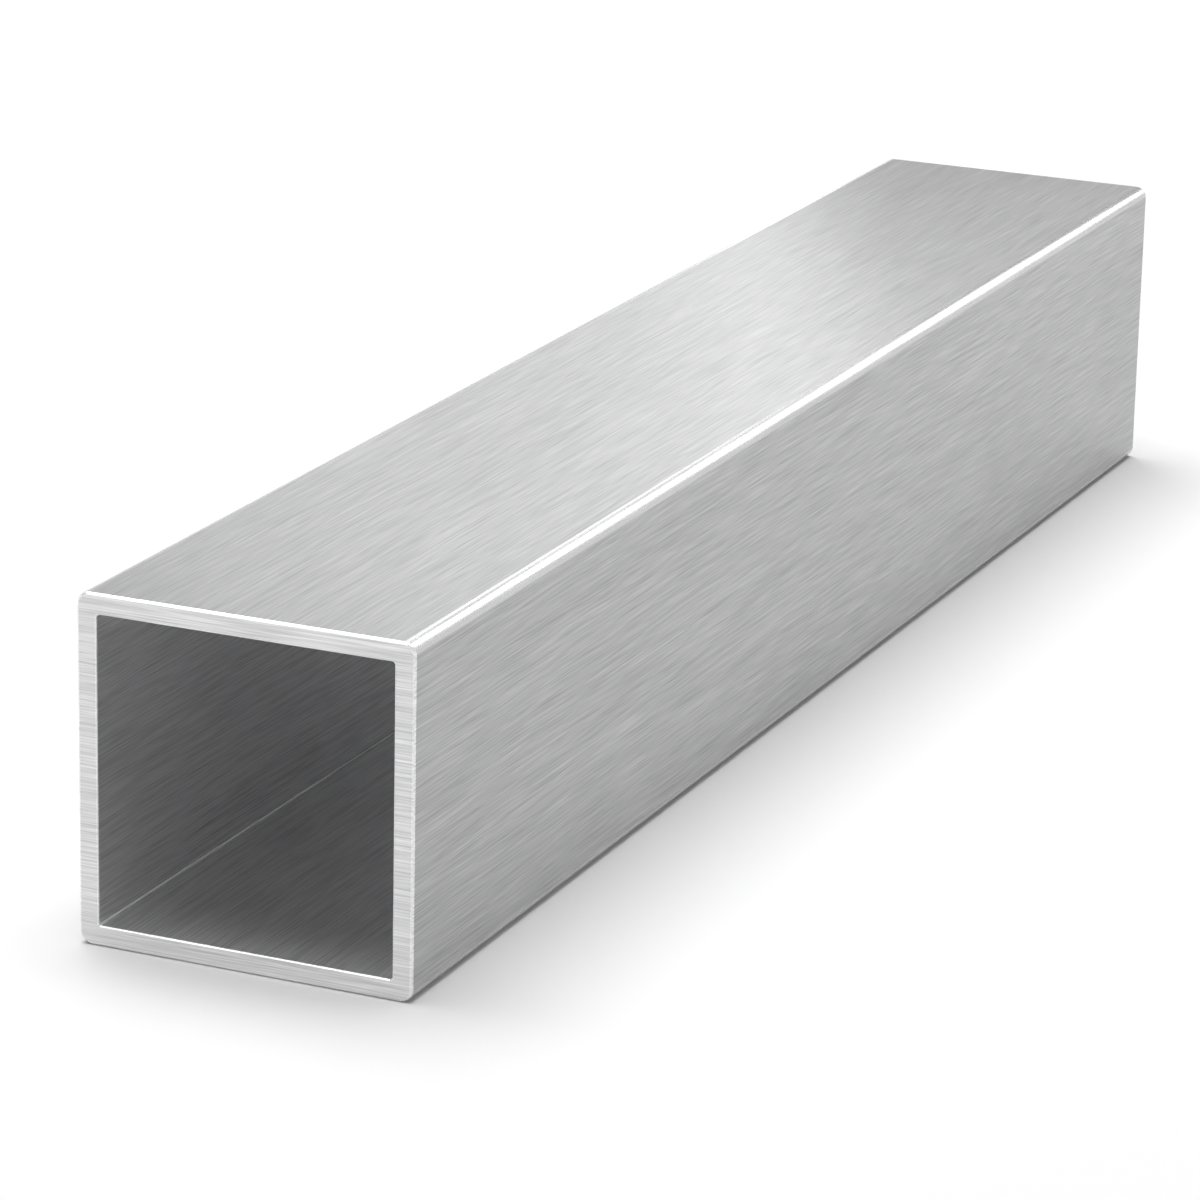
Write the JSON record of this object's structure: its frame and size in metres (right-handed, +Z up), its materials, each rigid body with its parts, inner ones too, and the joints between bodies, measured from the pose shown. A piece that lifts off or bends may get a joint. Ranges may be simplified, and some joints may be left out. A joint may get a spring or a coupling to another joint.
{
  "type": "square metal tube",
  "caption": "Straight square box-section tube with a uniform wall, small rounded outside corners, a nearly sharp square bore open at both square-cut ends, and a lengthwise brushed finish.",
  "frame": {"origin": "middle of the underside: on the surface that the tube lies on, halfway along its length and halfway across its width", "axes": "+Y along the length towards the far end, +Z up out of the top face, +X out of the right face; the near cut end faces -Y"},
  "size_m": [0.05, 0.3, 0.05],
  "materials": {
    "brushed_aluminium": "satin, brushed along the length; cut ends brushed straight across"
  },
  "bodies": {
    "root": {"square_tube": "brushed_aluminium"}
  },
  "joints": []
}
